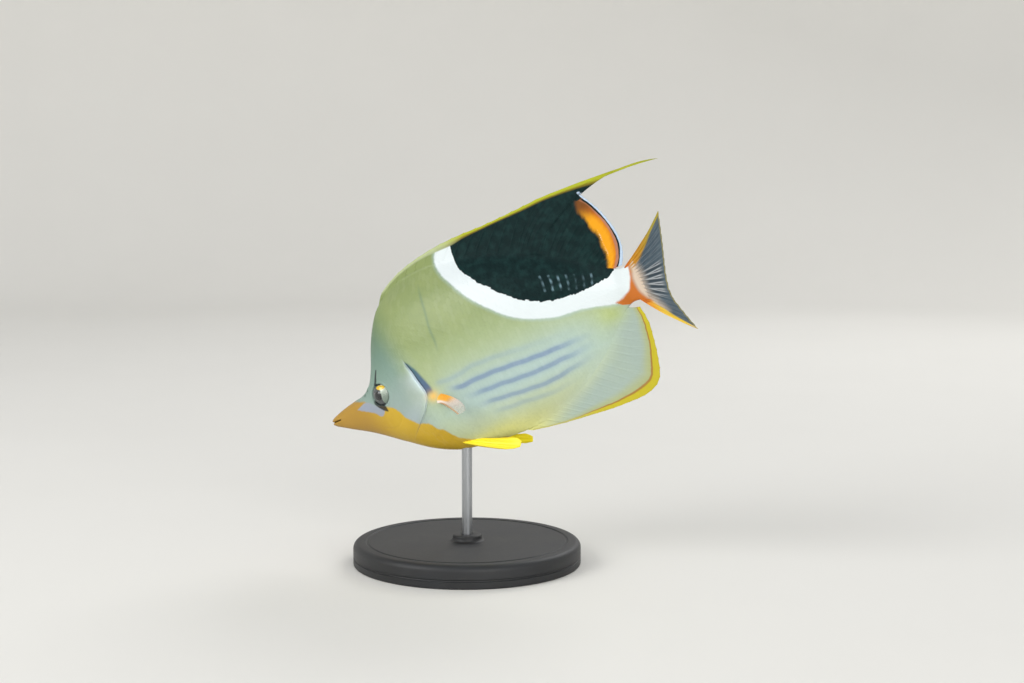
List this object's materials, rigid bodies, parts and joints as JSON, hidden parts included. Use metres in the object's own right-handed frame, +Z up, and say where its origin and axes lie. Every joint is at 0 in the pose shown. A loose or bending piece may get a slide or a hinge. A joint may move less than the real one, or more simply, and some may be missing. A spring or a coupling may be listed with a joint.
{
  "type": "blackblotch butterflyfish model",
  "caption": "Life-size butterflyfish model, nose down with a black saddle and a trailing dorsal filament, on a round base and rod.",
  "frame": {"origin": "centre of the round base's underside", "axes": "the fish heads along -X with its nose turned down, its left side faces -Y, and +Z is up from the base"},
  "size_m": [0.1916, 0.11, 0.1947],
  "materials": {
    "head_skin": "satin",
    "body_skin": "satin",
    "stalk_skin": "satin",
    "dorsal_fin": "satin",
    "anal_fin": "satin",
    "caudal_fin": "satin",
    "pectoral_fin": "satin",
    "pelvic_fin": "satin",
    "eye": "polished",
    "stand_base": "satin black",
    "stand_rod": "satin"
  },
  "bodies": {
    "root": {"head": "head_skin", "gill_cover_left": "head_skin", "gill_cover_right": "head_skin", "torso": "body_skin", "tail_stalk": "stalk_skin", "dorsal_fin": "dorsal_fin", "anal_fin": "anal_fin", "caudal_fin": "caudal_fin", "pectoral_fin_left": "pectoral_fin", "pectoral_fin_right": "pectoral_fin", "pelvic_fin_left": "pelvic_fin", "pelvic_fin_right": "pelvic_fin", "eye_left": "eye", "eye_right": "eye", "stand_base": "stand_base", "stand_rod": "stand_rod"}
  },
  "joints": []
}
